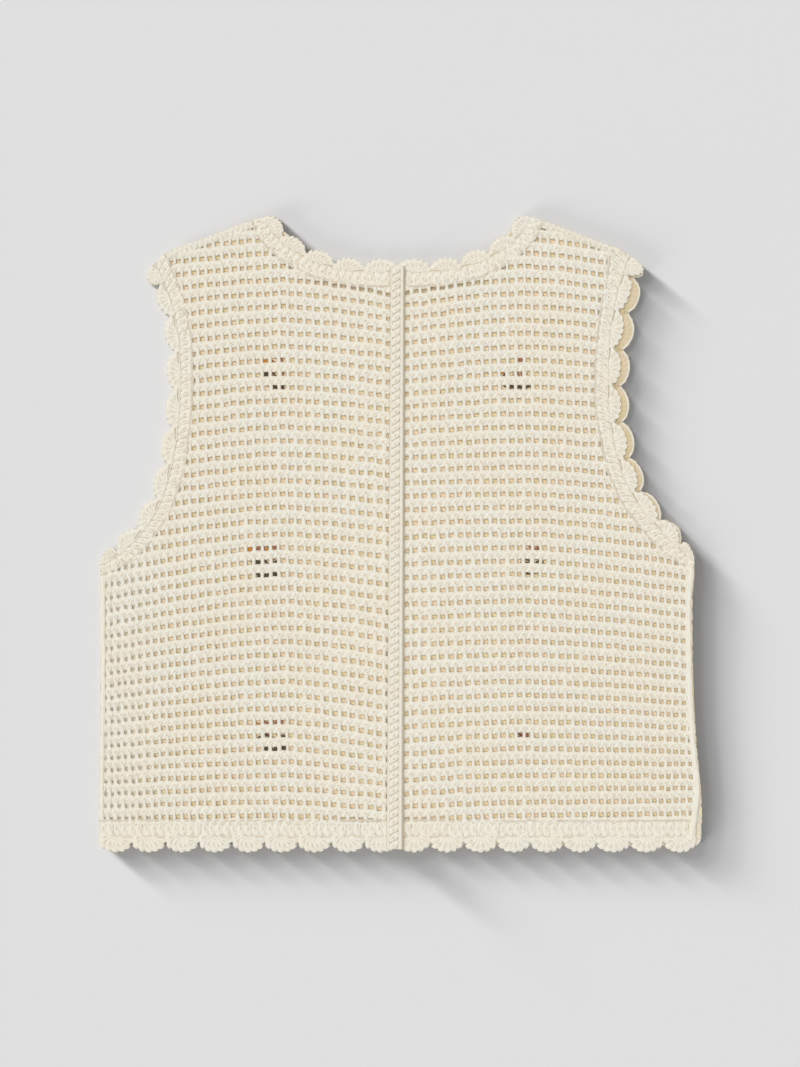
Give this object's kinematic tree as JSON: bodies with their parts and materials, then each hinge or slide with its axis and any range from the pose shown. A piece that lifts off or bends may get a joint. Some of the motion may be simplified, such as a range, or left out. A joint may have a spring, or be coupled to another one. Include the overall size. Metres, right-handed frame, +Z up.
{
  "type": "sweater vest, crocheted net, laid flat with its back up",
  "caption": "Cropped sleeveless vest of cream cotton crochet net with scalloped shell edgings and a raised centre back ridge, laid flat with its back up.",
  "frame": {"origin": "the middle of the bounding box's bottom face, on the surface that the vest lies on", "axes": "+Z up from that surface, through the front and then the back; +Y towards the neck; +X to the right in a view from above"},
  "size_m": [0.4822, 0.5117, 0.0101],
  "materials": {
    "cotton_yarn": "matt plied cotton yarn, cream",
    "cotton_yarn_under": "matt plied cotton yarn, cream seen in warm shade",
    "embroidery_red": "matt embroidery yarn",
    "embroidery_yellow": "matt embroidery yarn",
    "embroidery_green": "matt embroidery yarn"
  },
  "bodies": {
    "root": {"back_left": "cotton_yarn", "back_right": "cotton_yarn", "front": "cotton_yarn_under", "centre_back_ridge": "cotton_yarn", "neck_edging_left": "cotton_yarn", "neck_edging_right": "cotton_yarn", "neck_edging_front": "cotton_yarn_under", "armhole_edging_left": "cotton_yarn", "armhole_edging_right": "cotton_yarn", "armhole_edging_front_left": "cotton_yarn_under", "armhole_edging_front_right": "cotton_yarn_under", "hem_edging_left": "cotton_yarn", "hem_edging_right": "cotton_yarn", "hem_edging_front": "cotton_yarn_under", "shoulder_seam_left": "cotton_yarn", "shoulder_seam_right": "cotton_yarn", "side_seam_left": "cotton_yarn", "side_seam_right": "cotton_yarn"}
  },
  "joints": []
}
